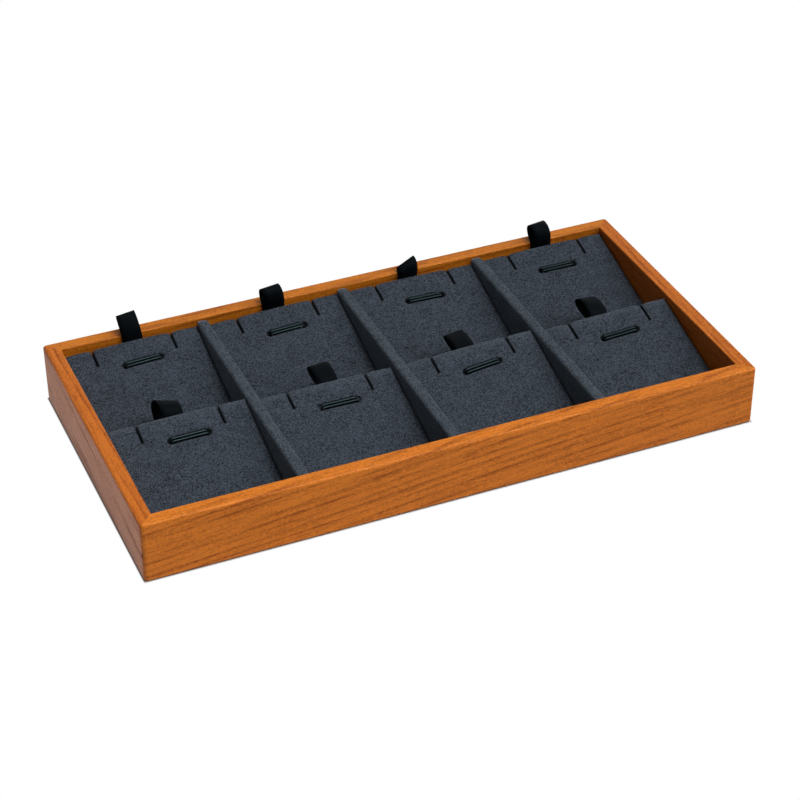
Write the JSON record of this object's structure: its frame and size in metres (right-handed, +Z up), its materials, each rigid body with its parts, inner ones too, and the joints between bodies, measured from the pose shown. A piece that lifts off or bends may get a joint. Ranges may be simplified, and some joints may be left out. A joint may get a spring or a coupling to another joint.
{
  "type": "jewelry display tray",
  "caption": "Flat mitred wooden tray with covered dividers and sloped soft inserts that lift out by ribbon tabs, each with chain slits and an elastic loop for showing jewelry.",
  "frame": {"origin": "middle of the footprint, on the surface the tray stands on", "axes": "+X along the long side, to the right seen from the low edge of the pads; +Y from front to back, the way the pads rise; +Z up"},
  "size_m": [0.35, 0.178, 0.0463],
  "materials": {
    "stained_wood": "satin orange-brown stain, fine grain",
    "plain_wood": "bare, sanded",
    "fibreboard": "bare hardboard",
    "greyboard": "bare grey pulp board",
    "card": "folded card, matt dark paper face",
    "microfibre": "dark blue-grey brushed microfibre",
    "elastic_cord": "black round elastic cord with a slight sheen",
    "satin_ribbon": "black satin"
  },
  "bodies": {
    "frame": {"front_rail": "stained_wood", "back_rail": "stained_wood", "left_rail": "stained_wood", "right_rail": "stained_wood", "mitre_splines": "plain_wood", "base_panel": "fibreboard", "base_lining": "microfibre", "divider_core_1": "fibreboard", "divider_cover_1": "microfibre", "divider_core_2": "fibreboard", "divider_cover_2": "microfibre", "divider_core_3": "fibreboard", "divider_cover_3": "microfibre"},
    "insert_front_1": {"board_front_1": "greyboard", "stand_front_1": "card", "pad_front_1": "microfibre", "elastic_front_1": "elastic_cord", "ribbon_front_1": "satin_ribbon"},
    "insert_front_2": {"board_front_2": "greyboard", "stand_front_2": "card", "pad_front_2": "microfibre", "elastic_front_2": "elastic_cord", "ribbon_front_2": "satin_ribbon"},
    "insert_front_3": {"board_front_3": "greyboard", "stand_front_3": "card", "pad_front_3": "microfibre", "elastic_front_3": "elastic_cord", "ribbon_front_3": "satin_ribbon"},
    "insert_front_4": {"board_front_4": "greyboard", "stand_front_4": "card", "pad_front_4": "microfibre", "elastic_front_4": "elastic_cord", "ribbon_front_4": "satin_ribbon"},
    "insert_back_1": {"board_back_1": "greyboard", "stand_back_1": "card", "pad_back_1": "microfibre", "elastic_back_1": "elastic_cord", "ribbon_back_1": "satin_ribbon"},
    "insert_back_2": {"board_back_2": "greyboard", "stand_back_2": "card", "pad_back_2": "microfibre", "elastic_back_2": "elastic_cord", "ribbon_back_2": "satin_ribbon"},
    "insert_back_3": {"board_back_3": "greyboard", "stand_back_3": "card", "pad_back_3": "microfibre", "elastic_back_3": "elastic_cord", "ribbon_back_3": "satin_ribbon"},
    "insert_back_4": {"board_back_4": "greyboard", "stand_back_4": "card", "pad_back_4": "microfibre", "elastic_back_4": "elastic_cord", "ribbon_back_4": "satin_ribbon"}
  },
  "joints": [
    {"name": "lift_front_1", "type": "slide", "parent": "frame", "child": "insert_front_1", "axis": [0, 0, 1], "range_m": [0, 0.04]},
    {"name": "lift_front_2", "type": "slide", "parent": "frame", "child": "insert_front_2", "axis": [0, 0, 1], "range_m": [0, 0.04]},
    {"name": "lift_front_3", "type": "slide", "parent": "frame", "child": "insert_front_3", "axis": [0, 0, 1], "range_m": [0, 0.04]},
    {"name": "lift_front_4", "type": "slide", "parent": "frame", "child": "insert_front_4", "axis": [0, 0, 1], "range_m": [0, 0.04]},
    {"name": "lift_back_1", "type": "slide", "parent": "frame", "child": "insert_back_1", "axis": [0, 0, 1], "range_m": [0, 0.04], "deforming": ["ribbon_front_1"]},
    {"name": "lift_back_2", "type": "slide", "parent": "frame", "child": "insert_back_2", "axis": [0, 0, 1], "range_m": [0, 0.04], "deforming": ["ribbon_front_2"]},
    {"name": "lift_back_3", "type": "slide", "parent": "frame", "child": "insert_back_3", "axis": [0, 0, 1], "range_m": [0, 0.04], "deforming": ["ribbon_front_3"]},
    {"name": "lift_back_4", "type": "slide", "parent": "frame", "child": "insert_back_4", "axis": [0, 0, 1], "range_m": [0, 0.04], "deforming": ["ribbon_front_4"]}
  ]
}
